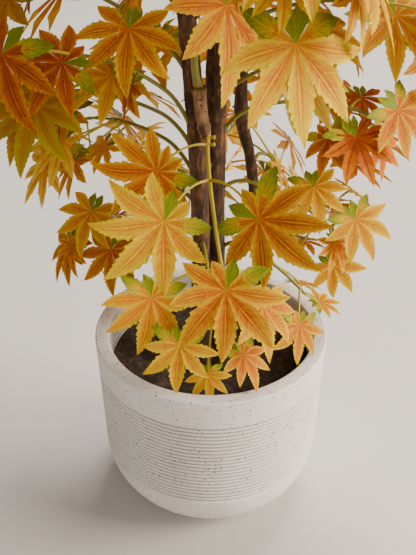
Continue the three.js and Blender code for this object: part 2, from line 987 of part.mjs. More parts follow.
const allLimbs = wasm.Manifold.union(grownLimbs);
const leaves = allLeaves();
MASSES.forEach((mass, i) => {
  const made = massSolid(mass, leaves[i], allLimbs);
  plant.add(named(mass.name, largestBody(made), COLOURS[mass.tint], 0.6));
});

export default plant;
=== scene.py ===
# %% [markdown]
# # An artificial maple in a ribbed pot
# The object is a small maple tree made of moulded plastic stems and printed cloth leaves. It stands in a
# speckled, ribbed stoneware pot. The frame that is loaded first is the plain solid model, in metres, and the
# pieces made below take the place of its nodes.

import math

import bmesh
import bpy
import numpy as np
from mathutils import Matrix, Quaternion, Vector, noise


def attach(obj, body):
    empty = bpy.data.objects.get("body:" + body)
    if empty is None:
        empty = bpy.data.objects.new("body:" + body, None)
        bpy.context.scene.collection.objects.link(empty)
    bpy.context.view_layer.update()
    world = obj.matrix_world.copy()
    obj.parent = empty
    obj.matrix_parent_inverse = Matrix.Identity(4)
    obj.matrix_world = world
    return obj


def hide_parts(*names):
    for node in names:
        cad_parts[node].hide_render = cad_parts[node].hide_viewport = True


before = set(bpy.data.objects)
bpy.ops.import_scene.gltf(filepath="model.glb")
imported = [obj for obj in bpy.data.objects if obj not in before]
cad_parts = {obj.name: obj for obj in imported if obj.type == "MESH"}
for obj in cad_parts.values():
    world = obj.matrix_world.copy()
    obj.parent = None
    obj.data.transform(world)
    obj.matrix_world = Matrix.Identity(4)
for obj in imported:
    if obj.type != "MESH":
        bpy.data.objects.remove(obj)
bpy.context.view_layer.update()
MM = 0.001

# %% [markdown]
# ## The camera
# The photograph looks down at the pot by about 32 degrees from a little above the middle of the crown. The
# ellipses of the rim and the foot give that angle and the lens, so the camera is placed by numbers, not by
# eye.

# %% Camera
CAMERA_AT = (-0.0025, -0.542, 0.560)
CAMERA_DOWN = 32.5
FOCAL_PIXELS = 770
PHOTO_HEIGHT = 555
SENSOR = 36


def make_camera():
    """A camera that sees the pot as the photograph does."""
    data = bpy.data.cameras.new("camera")
    data.sensor_width = SENSOR
    data.lens = FOCAL_PIXELS / PHOTO_HEIGHT * SENSOR
    camera = bpy.data.objects.new("camera", data)
    camera.location = CAMERA_AT
    camera.rotation_euler = (math.radians(90 - CAMERA_DOWN), 0, 0)
    bpy.context.collection.objects.link(camera)
    bpy.context.scene.camera = camera


make_camera()
print("lens, mm:", round(bpy.context.scene.camera.data.lens, 2))

# %% [markdown]
# ## Colours and nodes
# Colours are written as hex values, as a paint chart gives them, and turned to the linear values that the
# renderer needs. One helper adds a node, sets its sockets and links what is given as a socket, and the
# others call it for sums, noise, colour ramps and relief.


# %% Helpers for materials
def linear(code):
    """A hex colour as linear red, green, blue and alpha."""
    parts = [int(code[i : i + 2], 16) / 255 for i in (0, 2, 4)]
    return [*[c / 12.92 if c <= 0.04045 else ((c + 0.055) / 1.055) ** 2.4 for c in parts], 1]


def add_node(tree, kind, settings=None, **sockets):
    """A node of one kind. Settings are its own choices; a socket is given a value or another socket."""
    made = tree.nodes.new(kind)
    for key, value in (settings or {}).items():
        setattr(made, key, value)
    for key, value in sockets.items():
        socket = made.inputs[int(key[1:])] if key[0] == "i" and key[1:].isdigit() else made.inputs[key]
        if isinstance(value, bpy.types.NodeSocket):
            tree.links.new(value, socket)
        else:
            socket.default_value = value
    return made


def new_material(name, **values):
    """A material with one principled shader: its tree, its shader and its Object coordinates."""
    made = bpy.data.materials.new(name)
    made.use_nodes = True
    tree = made.node_tree
    shader = tree.nodes["Principled BSDF"]
    for key, value in values.items():
        shader.inputs[key.replace("_", " ")].default_value = value
    place = add_node(tree, "ShaderNodeTexCoord").outputs["Object"]
    return made, tree, shader, place


def maths(tree, operation, *values):
    """The result of a sum on values or sockets."""
    sockets = {f"i{k}": value for k, value in enumerate(values)}
    return add_node(tree, "ShaderNodeMath", {"operation": operation}, **sockets).outputs[0]


def cloudy(tree, place, scale, detail, roughness=0.5):
    """Noise from 0 to 1, with a scale in waves to the metre."""
    values = {"Vector": place, "Scale": scale, "Detail": detail, "Roughness": roughness}
    return add_node(tree, "ShaderNodeTexNoise", **values).outputs["Fac"]


def ramp(tree, fac, *stops):
    """A colour ramp with hex colours at the given places."""
    made = add_node(tree, "ShaderNodeValToRGB", Fac=fac)
    bar = made.color_ramp.elements
    while len(bar) < len(stops):
        bar.new(0.5)
    for element, (where, code) in zip(bar, stops):
        element.position = where
        element.color = linear(code)
    return made.outputs["Color"]


def bump(tree, shader, height, depth_mm, strength=1.0):
    """Joins a height pattern to the shader as relief of a depth in millimetres."""
    made = add_node(tree, "ShaderNodeBump", Strength=strength, Distance=depth_mm * MM, Height=height)
    tree.links.new(made.outputs["Normal"], shader.inputs["Normal"])


print("amber in linear light:", [round(c, 3) for c in linear("E08316")])

# %% [markdown]
# ## Turning work into pieces
# Every piece is modelled in millimetres in a bmesh. One function scales it to metres, gives it its
# materials and its body, and hides the solids that it stands for.


# %% Finish a piece
def finish_piece(bm, name, materials, nodes, outward=True):
    """A bmesh in millimetres as a piece that rides on the plant and replaces nodes of the frame."""
    if outward:
        bmesh.ops.recalc_face_normals(bm, faces=bm.faces)
    bmesh.ops.scale(bm, vec=(MM, MM, MM), verts=bm.verts)
    for face in bm.faces:
        face.smooth = True
    mesh = bpy.data.meshes.new(name)
    bm.to_mesh(mesh)
    bm.free()
    for material in materials:
        mesh.materials.append(material)
    piece = bpy.data.objects.new(name, mesh)
    bpy.context.collection.objects.link(piece)
    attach(piece, "root")
    if nodes:
        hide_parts(*nodes)
    print(name, "faces:", len(mesh.polygons))


# %% [markdown]
# ## The pot
# The pot is a round tub of speckled stoneware: a flat rim 12 mm wide, a plain band, fine ribs cut on the
# wheel, a plain band and a rounded foot. A turned thing is made like one, so a profile is drawn and spun
# about the upright axis.

# %% Sizes of the pot
POT_RADIUS = 100
POT_HEIGHT = 164
WALL = 12
WALL_LEAN = 0.026
FOOT_HEIGHT = 54
BASE_RADIUS = 50
BASE_EDGE = 3
FOOT_STEPS = 17
GROOVES = 22
GROOVE_TOP = 136
GROOVE_PITCH = 3.92
GROOVE_DEPTH = 1.7
GROOVE_SHAPE = ((-1, 0), (-0.7, 0.4), (-0.45, 1), (0.45, 1), (0.7, 0.4), (1, 0))
BAND = (138.4, 150)
OUTER_EDGE = 1.6
INNER_EDGE = 2.2
FLOOR = 14
SOIL_TOP = 134
INSIDE = (150, SOIL_TOP, 100, 62, 36, FLOOR)
POT_STEPS = 144


def wall_radius(z):
    """The outer radius of the pot at a height, without its grooves."""
    wall = POT_RADIUS - WALL_LEAN * (POT_HEIGHT - max(z, FOOT_HEIGHT))
    if z >= FOOT_HEIGHT:
        return wall
    below = 1 - z / FOOT_HEIGHT
    return BASE_RADIUS + (wall - BASE_RADIUS) * math.sqrt(1 - below * below)


print("widest, mm:", 2 * POT_RADIUS, "at the foot's top, mm:", round(2 * wall_radius(FOOT_HEIGHT), 1))


# %% Profile of the pot
def rounded(profile, corner, radius, start, steps=5):
    """Adds a quarter turn of a rounded corner, from the angle start in degrees, round a centre."""
    for i in range(steps + 1):
        turn = math.radians(start + 90 * i / steps)
        profile.append((corner[0] + radius * math.cos(turn), corner[1] + radius * math.sin(turn)))


def pot_profile():
    """Radius and height along the pot's skin, from the middle of its base round to its floor."""
    profile = [(0, 0), (BASE_RADIUS - BASE_EDGE, 0)]
    for i in range(1, FOOT_STEPS):
        z = FOOT_HEIGHT * (1 - math.cos(math.radians(90 * i / FOOT_STEPS)))
        profile.append((wall_radius(z), z))
    for i in reversed(range(GROOVES)):
        z = GROOVE_TOP - i * GROOVE_PITCH
        r = wall_radius(z)
        profile += [(r - GROOVE_DEPTH * depth, z + rise) for rise, depth in GROOVE_SHAPE]
        if i:
            profile.append((wall_radius(z + GROOVE_PITCH / 2), z + GROOVE_PITCH / 2))
    profile += [(wall_radius(z), z) for z in BAND]
    rounded(profile, (POT_RADIUS - OUTER_EDGE, POT_HEIGHT - OUTER_EDGE), OUTER_EDGE, 0)
    rounded(profile, (POT_RADIUS - WALL + INNER_EDGE, POT_HEIGHT - INNER_EDGE), INNER_EDGE, 90)
    profile += [(wall_radius(z) - WALL, z) for z in INSIDE]
    profile.append((0, FLOOR))
    return profile


def spun(profile, steps):
    """A profile in the XZ plane turned once round the Z axis, with its seam and poles closed."""
    bm = bmesh.new()
    corners = [bm.verts.new((r, 0, z)) for r, z in profile]
    edges = [bm.edges.new(pair) for pair in zip(corners, corners[1:])]
    turn = {"cent": (0, 0, 0), "axis": (0, 0, 1), "angle": math.tau}
    bmesh.ops.spin(bm, geom=corners + edges, steps=steps, use_merge=True, **turn)
    bmesh.ops.remove_doubles(bm, verts=bm.verts, dist=0.001)
    return bm


print("corners in the profile:", len(pot_profile()))

# %% [markdown]
# ## Speckled stoneware
# The body is an off-white clay under a matt glaze, with iron and manganese grit that fired to specks of 0.4
# to 1.5 mm. Each speck is the middle of a Voronoi cell, kept only where the cell's random number allows, so
# the specks are scattered and differ in size. Grey, brown and black grit are three such patterns, each with
# its cells' width in millimetres, the share of cells that hold a speck, its size and its colour. Shade is
# painted along the bottom of the grooves as a darker grey.

# %% Material of the pot
GRIT = ((1.9, 0.4, 0.25, "A8A099"), (2.5, 0.34, 0.27, "776A60"), (2.7, 0.34, 0.25, "2A2725"))
# painted shade in the grooves: full up to the first share of a pitch from a groove's bottom, gone at the
# second
GROOVE_SHADE = (0.12, 0.22)


def specks(tree, place, spacing_mm, share, size):
    """White where a speck lies: cells of a spacing, the share of them that hold one, and its size."""
    cells = add_node(tree, "ShaderNodeTexVoronoi", Vector=place, Scale=1000 / spacing_mm)
    split = add_node(tree, "ShaderNodeSeparateColor", Color=cells.outputs["Color"])
    kept = maths(tree, "LESS_THAN", split.outputs[0], share)
    grown = maths(tree, "MULTIPLY_ADD", split.outputs[1], size * 0.6, size * 0.4)
    near = maths(tree, "LESS_THAN", cells.outputs["Distance"], grown)
    return maths(tree, "MULTIPLY", kept, near)


def mixed(tree, fac, under, code):
    """A colour with a hex colour over it where fac is 1."""
    made = add_node(tree, "ShaderNodeMix", {"data_type": "RGBA"}, Factor=fac, i6=under, i7=linear(code))
    return made.outputs[2]


def painted_groove_shade(tree, place):
    """The mask of the painted shade: white along the bottom of each groove, from the height on the pot."""
    height = add_node(tree, "ShaderNodeSeparateXYZ", Vector=place).outputs["Z"]
    lowest = GROOVE_TOP - GROOVE_PITCH * (GROOVES - 1)
    steps = maths(tree, "MULTIPLY_ADD", height, 1000 / GROOVE_PITCH, -lowest / GROOVE_PITCH)
    away = maths(tree, "PINGPONG", steps, 0.5)
    start, end = GROOVE_SHADE
    line = add_node(tree, "ShaderNodeMapRange", i0=away, i1=start, i2=end, i3=1.0, i4=0.0).outputs[0]
    above = maths(tree, "GREATER_THAN", steps, -0.4)
    below = maths(tree, "LESS_THAN", steps, GROOVES - 0.6)
    return maths(tree, "MULTIPLY", line, maths(tree, "MULTIPLY", above, below))


def stoneware():
    """Matt glazed stoneware, thrown and ribbed: an even off-white with fired grit, and painted shade along
    the bottom of the grooves.
    """
    made, tree, shader, place = new_material("matt glazed speckled stoneware", Roughness=0.55, IOR=1.5)
    body = ramp(tree, cloudy(tree, place, 22.0, 4.0), (0.3, "E9E3DB"), (0.7, "F4F0EA"))
    # painted shade: a darker grey along the bottom of each groove
    colour = mixed(tree, painted_groove_shade(tree, place), body, "A49B92")
    for spacing, share, size, code in GRIT:
        colour = mixed(tree, specks(tree, place, spacing, share, size), colour, code)
    tree.links.new(colour, shader.inputs["Base Color"])
    bump(tree, shader, cloudy(tree, place, 900.0, 3.0), 0.12, 0.5)
    return made


finish_piece(spun(pot_profile(), POT_STEPS), "stoneware_pot", [stoneware()], ["pot"])

# %% [markdown]
# ## The soil
# The pot is filled with a block whose top was moulded and painted as dark, lumpy soil. A disc is spun from
# a line with many corners, and its corners are lifted by noise of two sizes: clods of about 20 mm and
# crumbs of about 6 mm.

# %% Soil
SOIL_RINGS = 44
SOIL_STEPS = 120
SOIL_SINK = 1.2
SOIL_GAP = 0.4
CLOD_WIDTH = 21
CLOD_RISE = 4.5
CRUMB_WIDTH = 6
CRUMB_RISE = 1.1
FLAT_EDGE = 8


def soil_height(x, y, edge):
    """The height of the soil's top at a place, flatter towards the wall of the pot."""
    clod = noise.noise(Vector((x / CLOD_WIDTH, y / CLOD_WIDTH, 3))) * CLOD_RISE
    crumb = noise.fractal(Vector((x / CRUMB_WIDTH, y / CRUMB_WIDTH, 7)), 0.6, 2.2, 4) * CRUMB_RISE
    inner = min(1, (edge - math.hypot(x, y)) / FLAT_EDGE)
    return SOIL_TOP - SOIL_SINK + (clod + crumb) * max(0.15, inner)


def soil_mesh():
    """The moulded soil as a closed body that fills the pot."""
    edge = wall_radius(SOIL_TOP) - WALL - SOIL_GAP
    profile = [(0, FLOOR + 1), (edge - 12, FLOOR + 1), (edge, FOOT_HEIGHT), (edge, SOIL_TOP)]
    profile += [(edge * (1 - i / SOIL_RINGS), SOIL_TOP) for i in range(1, SOIL_RINGS + 1)]
    bm = spun(profile, SOIL_STEPS)
    for corner in bm.verts:
        if corner.co.z > SOIL_TOP - 1:
            corner.co.z = soil_height(corner.co.x, corner.co.y, edge)
    return bm


def moulded_soil():
    """Rigid foam painted as potting soil: dull dark brown with paler dry crumbs."""
    made, tree, shader, place = new_material("painted foam soil", Roughness=0.9, IOR=1.45)
    crumbs = cloudy(tree, place, 260.0, 6.0, 0.7)
    both = maths(tree, "MULTIPLY_ADD", cloudy(tree, place, 45.0, 2.0), 0.5, crumbs)
    colour = ramp(tree, both, (0.5, "19120D"), (0.75, "352A21"), (0.95, "625448"))
    tree.links.new(colour, shader.inputs["Base Color"])
    bump(tree, shader, crumbs, 1.2, 0.9)
    return made


finish_piece(soil_mesh(), "moulded_soil", [moulded_soil()], ["soil"])

# %% [markdown]
# ## The tree's plan
# The tree grows by the same rule as the solid model. Two thick stems and a thin one stand in the soil, boughs
# leave them, and each mass of leaves has one plastic stem that ends inside it. Runs of points with a radius
# at each give the limbs, and two ends with a bend give each stem. The leaves at the front, which are seen one
# by one, have a row of their own: the share of the stem where the stalk starts, the palm's place, the
# heading, dip and roll of the leaf in degrees, and its radius.

# %% Limbs
STEM_START = SOIL_TOP - 6
LIMBS = {
    "trunk_left": (
        [(-9, -7, STEM_START), (-9, -7, 146), (-9, -6, 200), (-8.5, -5, 273), (-11, -5, 344),
         (-16, -5, 414), (-24, -2, 490), (-34, 4, 570), (-40, 8, 640)],
        [11, 7.8, 7.4, 7.2, 7, 6.6, 6.2, 5.2, 4.2],
    ),
    "trunk_right": (
        [(8, 8, STEM_START), (8, 8, 146), (5, 8, 200), (3.5, 8, 273), (3.5, 8, 344), (4, 8, 400),
         (10, 9, 480), (19, 14, 570), (22, 16, 660), (19, 14, 720)],
        [11, 8, 7.7, 7.6, 7.6, 7.4, 6.8, 5.8, 4.8, 4],
    ),
    "back_stem": (
        [(50, 36, STEM_START), (49, 36, 144), (44, 36, 210), (35, 35, 283), (31, 35, 310),
         (24, 35, 341), (24, 36, 386), (28, 44, 450), (40, 58, 520)],
        [8, 5.2, 4.8, 4.6, 4.6, 5.4, 4.2, 3.8, 3.2],
    ),
    "front_branch": ([(3, 4, 332), (-2, -11, 343), (-6, -18.5, 362), (-9, -19.5, 384)], [5, 4.8, 4.7, 4.9]),
    "bough_left": ([(-18, -4, 432), (-45, -18, 470), (-78, -34, 520), (-98, -44, 560)], [4.6, 4.2, 3.6, 3]),
    "bough_back_left": ([(-24, -2, 492), (-44, 28, 530), (-66, 62, 575), (-78, 84, 610)], [4.4, 4, 3.4, 2.8]),
    "bough_top_left": ([(-35, 5, 580), (-60, -12, 620), (-80, -30, 664)], [4, 3.5, 2.8]),
    "bough_right": ([(6, 8, 440), (40, -4, 480), (76, -16, 530), (98, -24, 574)], [4.6, 4.2, 3.6, 3]),
    "bough_front": ([(11, 9, 492), (12, -28, 532), (10, -64, 582), (8, -84, 620)], [4.4, 4, 3.4, 2.8]),
    "bough_back_right": ([(15, 12, 540), (42, 40, 580), (66, 66, 630)], [4.2, 3.6, 2.8]),
    "bough_top_right": ([(22, 16, 640), (50, -2, 680), (68, -14, 722)], [3.8, 3.3, 2.6]),
}
print("limbs:", len(LIMBS), "main stem, mm:", LIMBS["trunk_right"][0][-1][2] - SOIL_TOP)


# %% Masses of leaves
def mass(name, limb, start, end, rise, tint, pairs=5, bend=(0, 0), heart=None, leaves=()):
    """One mass: its stem runs from a height on a limb, or from its tip, to an end, and bows by a rise."""
    bow = Vector((*bend, rise))
    return {"name": "foliage_" + name, "limb": limb, "start": start, "end": Vector(end), "bow": bow,
            "tint": tint, "pairs": pairs, "heart": heart, "leaves": leaves}


MASSES = [
    mass("front_low", "front_branch", 346, (9, -120, 281), 24, "amber", 0, (-8, 16), (0, -130, 292), [
        (0.14, (-38, -50, 334), -165, 37, -75, 48),
        (0.45, (-32, -90, 316), -150, 42, -62, 54),
        (0.45, (31, -90, 318), -32, 35, 66, 55),
        (1, (9, -120, 281), -90, 55, 0, 52),
    ]),
    mass("foot", "trunk_left", 262, (2, -60, 216), 20, "amber", 0, (0, -10), (0, -52, 212), [
        (0.5, (-46, -50, 228), -116, 68, -40, 48),
        (0.9, (-24, -80, 205), -104, 65, -15, 38),
        (0.6, (39, -58, 227), -77, 42, -20, 43),
        (1, (25, -72, 190), -50, 42, 0, 30),
        (1, (-3, -60, 160), -80, 35, 0, 25),
    ]),
    mass("foot_right", "trunk_right", 250, (81, -12, 202), 24, "gold", 0, (0, -6), (84, -18, 190), [
        (0.9, (72, -34, 190), -94, 52, -30, 32),
        (1, (92, 0, 190), 24, 12, 12, 24),
        (0.66, (78, 14, 200), 60, 20, 0, 24),
    ]),
    mass("left_low", "trunk_left", 300, (-112, 48, 236), 24, "amber", 4, leaves=[
        (0.75, (-100, 32, 260), -125, 50, -10, 40),
        (1, (-124, 50, 219), -150, 52, 0, 42),
        (0.95, (-86, 30, 224), -95, 56, 10, 40),
    ]),
    mass("right_low", "trunk_right", 305, (112, 40, 232), 26, "gold", 3, (0, -8), leaves=[
        (0.95, (106, 30, 209), -19, 46, 60, 35),
        (0.9, (120, 24, 257), -40, 48, 30, 40),
        (0.7, (85, 34, 282), -75, 46, 10, 38),
    ]),
    mass("back_low_left", "trunk_left", 288, (-44, 104, 268), 22, "peach"),
    mass("back_low_right", "back_stem", 306, (66, 118, 256), 22, "peach"),
    mass("left_front", "trunk_left", 358, (-92, -58, 418), 22, "rust", 2, heart=(-86, -70, 424), leaves=[
        (0.95, (-94, -62, 414), -165, 12, -36, 45),
        (0.7, (-53, -42, 430), -100, 50, -10, 44),
    ]),
    mass("left", "trunk_left", 344, (-118, 6, 372), 22, "gold", 2, heart=(-112, 8, 372), leaves=[
        (0.55, (-71, 0, 386), -100, 31, -14, 41),
        (0.85, (-113, 20, 354), -130, 40, 0, 40),
        (1, (-138, 0, 362), -160, 40, -20, 46),
    ]),
    mass("left_back", "trunk_left", 322, (-112, 92, 318), 24, "peach"),
    mass("right_front", "trunk_right", 366, (54, -60, 414), 14, "peach", 2, (4, 0), (60, -78, 412), [
        (1, (54, -60, 412), -135, 86, 0, 50),
        (0.8, (72, -36, 428), 20, 20, 30, 40),
    ]),
    mass("right", "trunk_right", 350, (122, 8, 352), 26, "rust", 2, heart=(114, 8, 348), leaves=[
        (0.7, (88, 0, 339), -30, 58, 60, 32),
        (1, (137, 0, 360), -20, 40, 30, 44),
        (0.9, (130, 22, 329), 10, 50, 40, 38),
    ]),
    mass("right_back", "back_stem", 345, (114, 92, 318), 24, "amber"),
    mass("front", "front_branch", None, (8, -78, 452), 4, "rust", 3, (-18, 14), (-8, -84, 448), [
        (1, (8, -80, 453), -80, 50, -30, 56),
    ]),
    mass("back", "trunk_right", 372, (6, 112, 384), 24, "amber"),
    mass("right_out", "trunk_right", 412, (108, -40, 444), 22, "gold", 3, leaves=[
        (0.95, (116, -42, 438), -40, 40, 20, 50),
    ]),
    mass("left_out", "trunk_left", 404, (-168, 4, 470), 22, "amber"),
    mass("left_front_out", "trunk_left", 446, (-112, -100, 540), 26, "rust"),
    mass("front_out", "trunk_right", 446, (30, -148, 506), 24, "gold"),
    mass("right_side", "trunk_right", 402, (176, 32, 452), 22, "amber"),
    mass("right_rear", "back_stem", None, (126, 118, 528), 16, "rust"),
    mass("back_out", "trunk_right", 456, (-6, 164, 500), 24, "gold"),
    mass("left_rear", "trunk_left", 440, (-126, 104, 466), 22, "amber"),
    mass("high_left", "bough_left", None, (-176, -68, 596), 14, "amber"),
    mass("high_front", "bough_front", None, (-14, -152, 648), 14, "rust"),
    mass("high_front_right", "trunk_right", 520, (104, -110, 588), 22, "amber"),
    mass("high_right", "bough_right", None, (178, -24, 600), 16, "gold"),
    mass("high_back_right", "bough_back_right", None, (104, 116, 672), 12, "amber"),
    mass("high_back", "trunk_right", 568, (6, 148, 618), 22, "rust"),
    mass("high_back_left", "bough_back_left", None, (-132, 128, 622), 14, "gold"),
    mass("upper_left", "bough_top_left", None, (-126, -48, 724), 12, "gold"),
    mass("upper_right", "bough_top_right", None, (118, -26, 752), 14, "amber"),
    mass("upper_front", "trunk_right", 668, (8, -88, 762), 16, "peach"),
    mass("upper_back", "trunk_right", 676, (38, 92, 752), 16, "amber"),
    mass("upper_back_left", "trunk_left", None, (-74, 66, 738), 8, "rust"),
    mass("top", "trunk_right", None, (4, 6, 838), 0, "amber", 5, (6, 0)),
]
print("masses:", len(MASSES), "leaves placed by hand:", sum(len(m["leaves"]) for m in MASSES))

# %% [markdown]
# ## Numbers by rule
# A leaf's size, reach and tilt come from a number that is always the same for the same keys. It is a small
# hash, so a leaf keeps its place when others are added or left out.

# %% Chance
MASK = 0xFFFFFFFF


def chance(*keys):
    """A number from 0 to 1 that is always the same for the same whole numbers."""
    h = 2166136261
    for key in keys:
        h = ((h ^ key) * 16777619) & MASK
        h ^= h >> 13
    h = ((h ^ (h >> 15)) * 2246822519) & MASK
    h ^= h >> 13
    return h / (MASK + 1)


def sway(most, *keys):
    """The same, spread evenly from -most to most."""
    return most * (2 * chance(*keys) - 1)


def between(ends, share):
    """The number at a share of the way from one end to the other."""
    return ends[0] + (ends[1] - ends[0]) * share


print("a few chances:", [round(chance(1, i), 3) for i in range(4)])

# %% [markdown]
# ## Stems and leaves by rule
# A stem is a quadratic curve. Pairs of stalks stand along it and one leaf ends it. A leaf is dropped where
# it would crowd another, leave its mass's space, hang too low or touch a limb, which is how the gaps in the
# crown come about.

# %% Stems
UP = Vector((0, 0, 1))


def limb_point(name, height):
    """The point of a limb at a height, or its tip."""
    points = LIMBS[name][0]
    height = points[-1][2] if height is None else height
    i = max(1, next(k for k, p in enumerate(points) if p[2] >= height))
    low, high = Vector(points[i - 1]), Vector(points[i])
    return low.lerp(high, (height - low.z) / (high.z - low.z))


def on_bend(curve, t):
    """A point of a quadratic curve."""
    a, b, c = curve
    return a * (1 - t) ** 2 + b * (2 * t * (1 - t)) + c * t**2


def way_along(curve, t):
    """The direction of a quadratic curve."""
    a, b, c = curve
    return ((b - a) * (1 - t) + (c - b) * t).normalized()


for grown in MASSES:
    foot = limb_point(grown["limb"], grown["start"])
    grown["curve"] = (foot, foot.lerp(grown["end"], 0.5) + grown["bow"], grown["end"])
    grown["heart"] = Vector(grown["heart"] or on_bend(grown["curve"], 0.85))
print("longest stem, mm:", round(max((m["curve"][2] - m["curve"][0]).length for m in MASSES)))

# %% Leaves as plans
LEAF_RADIUS = 52
TIP_DROP = 0.17
LEAF_BACK = 2
LOBES = [(121, 0.64), (80, 0.8), (40, 0.93), (0, 1), (-40, 0.93), (-80, 0.8), (-121, 0.64)]
NOTCH = 0.48
HEEL = 0.28
LOBE_VARIES = 0.07
STALK_RISE = 0.12
LAST_FOOT = 0.96
STALK_FORWARD = 0.5
PAIR_TILT = (-50, 50)
PAIR_TURN = 60
OUTWARD = 0.7
PAIR_SHARES = (0.3, 0.93)
LEAF_SIZES = (0.8, 1.1)
LEAF_REACHES = (0.75, 1.25)
LEAF_DIP = (30, 68)
LEAF_TURN = 32
LEAF_ROLL = 28


def leaf_axes(heading, dip, roll):
    """A leaf's own axes: across it, along its middle lobe, and the way its upper face looks."""
    h, d = math.radians(heading), math.radians(dip)
    along = Vector((math.cos(h) * math.cos(d), math.sin(h) * math.cos(d), -math.sin(d)))
    face = Vector((math.cos(h) * math.sin(d), math.sin(h) * math.sin(d), math.cos(d)))
    face.rotate(Quaternion(along, math.radians(roll)))
    return along.cross(face), along, face


def placed_leaves(plan, seed):
    """The leaves of a mass that are placed one by one."""
    made = []
    for i, (share, palm, heading, dip, roll, radius) in enumerate(plan["leaves"]):
        made.append({"root": on_bend(plan["curve"], min(share, LAST_FOOT)), "palm": Vector(palm),
                     "axes": leaf_axes(heading, dip, roll), "radius": radius, "seed": 100 * seed + 50 + i})
    return made


def grown_leaves(plan, seed, pairs, shares=PAIR_SHARES, sizes=LEAF_SIZES, reaches=LEAF_REACHES):
    """The leaves that a mass grows by rule: one at the end of its stem, and pairs along it."""
    curve = plan["curve"]
    made = []

    def grow(share, toward, *keys):
        root = on_bend(curve, min(share, LAST_FOOT))
        radius = LEAF_RADIUS * between(sizes, chance(*keys, 1))
        palm = root + toward * radius * between(reaches, chance(*keys, 2))
        out = toward + Vector((palm.x, palm.y, 0)).normalized() * OUTWARD
        heading = math.degrees(math.atan2(out.y, out.x)) + sway(LEAF_TURN, *keys, 3)
        axes = leaf_axes(heading, between(LEAF_DIP, chance(*keys, 4)), sway(LEAF_ROLL, *keys, 5))
        number = 100 * seed + len(made)
        made.append({"root": root, "palm": palm, "axes": axes, "radius": radius, "seed": number})

    grow(1, way_along(curve, 1), seed, 99)
    for i in range(pairs):
        share = shares[1] - (shares[1] - shares[0]) * (i + 0.5) / pairs
        way = way_along(curve, share)
        side = way.cross(UP).normalized()
        tilt = between(PAIR_TILT, chance(seed, i, 6)) + (PAIR_TURN if i % 2 else 0)
        side.rotate(Quaternion(way, math.radians(tilt)))
        for hand in (1, -1):
            grow(share, (side * hand + way * STALK_FORWARD).normalized(), seed, i, hand + 2)
    return made


def stalk_curve(leaf, rise=STALK_RISE):
    """The line of a leaf's stalk, from just behind its palm back to the stem."""
    start = leaf["palm"] - leaf["axes"][2] * LEAF_BACK
    length = (leaf["root"] - start).length
    return start, leaf["root"].lerp(start, 0.5) + UP * rise * length, leaf["root"]


print("a leaf's axes:", [tuple(round(v, 2) for v in a) for a in leaf_axes(-90, 45, 0)])

# %% Tests of a leaf's place
SAMPLE_STEP = 5
STALK_SAMPLES = 9
CROWDED = 0.5
CLEARANCE = 2.5
LEAF_APART = 4.6
LOWEST_LEAF = POT_HEIGHT + 6
TWIG_FOOT = 2.6


def leaf_rim(leaf):
    """The corners of a leaf's plain outline: the heel, then each lobe's tip and the notch after it."""
    corners = [(180, HEEL)]
    for i, (angle, share) in enumerate(LOBES):
        corners.append((angle, share * (1 + sway(LOBE_VARIES, leaf["seed"], i))))
        if i < len(LOBES) - 1:
            corners.append(((angle + LOBES[i + 1][0]) / 2, NOTCH))
    across, along, face = leaf["axes"]
    rim = []
    for angle, share in corners:
        r, turn = leaf["radius"] * share, math.radians(angle)
        sideways, forward = across * r * math.sin(turn), along * r * math.cos(turn)
        rim.append(leaf["palm"] + sideways + forward - face * TIP_DROP * r * share)
    return rim


def samples(leaf):
    """Points spread over a leaf and along its stalk, as an array."""
    rim, palm, curve = leaf_rim(leaf), leaf["palm"], stalk_curve(leaf)
    found = [*rim, palm, *(on_bend(curve, k / STALK_SAMPLES) for k in range(STALK_SAMPLES - 1))]
    rounds = math.ceil(leaf["radius"] / SAMPLE_STEP)
    for a, b in zip(rim, rim[1:] + rim[:1]):
        for j in range(rounds):
            across = math.ceil((a - b).length * (1 - j / rounds) / SAMPLE_STEP)
            for k in range(0 if j else 1, across):
                found.append(a.lerp(b, k / across).lerp(palm, j / rounds))
    return np.array(found)


def clear_of(spots, runs):
    """How far the nearest of some points is from the nearest of some tapering runs."""
    starts, ends, first, last = runs
    way = ends - starts
    share = np.einsum("nmk,mk->nm", spots[:, None] - starts[None], way) / (way**2).sum(1)
    share = share.clip(0, 1)
    near = starts[None] + share[..., None] * way[None]
    away = np.linalg.norm(spots[:, None] - near, axis=2) - (first + (last - first) * share)
    return away.min()


def runs_about(plan):
    """The limbs and the stems of all the other masses, as runs that a leaf keeps clear of."""
    rows = []
    for points, radii in LIMBS.values():
        rows += [(*p, *q, a, b) for p, q, a, b in zip(points, points[1:], radii, radii[1:])]
    for other in MASSES:
        if other is not plan:
            dots = [on_bend(other["curve"], k / 4) for k in range(5)]
            rows += [(*p, *q, TWIG_FOOT, TWIG_FOOT) for p, q in zip(dots, dots[1:])]
    table = np.array(rows)
    return table[:, :3], table[:, 3:6], table[:, 6], table[:, 7]


def touching(one, other, apart):
    """Whether two arrays of points come nearer than a distance."""
    low, high = other.min(0) - apart, other.max(0) + apart
    one = one[((one > low) & (one < high)).all(1)]
    if not len(one):
        return False
    gaps = ((one[:, None] - other[None]) ** 2).sum(2)
    return bool(gaps.min() < apart * apart)


print("samples on one leaf:", len(samples(placed_leaves(MASSES[0], 1)[0])))


# %% Let the masses grow
NEAR_BEHIND = 20
NEAR_ABOVE = 520
SEEN_BEHIND = 70
SEEN_ABOVE = 560


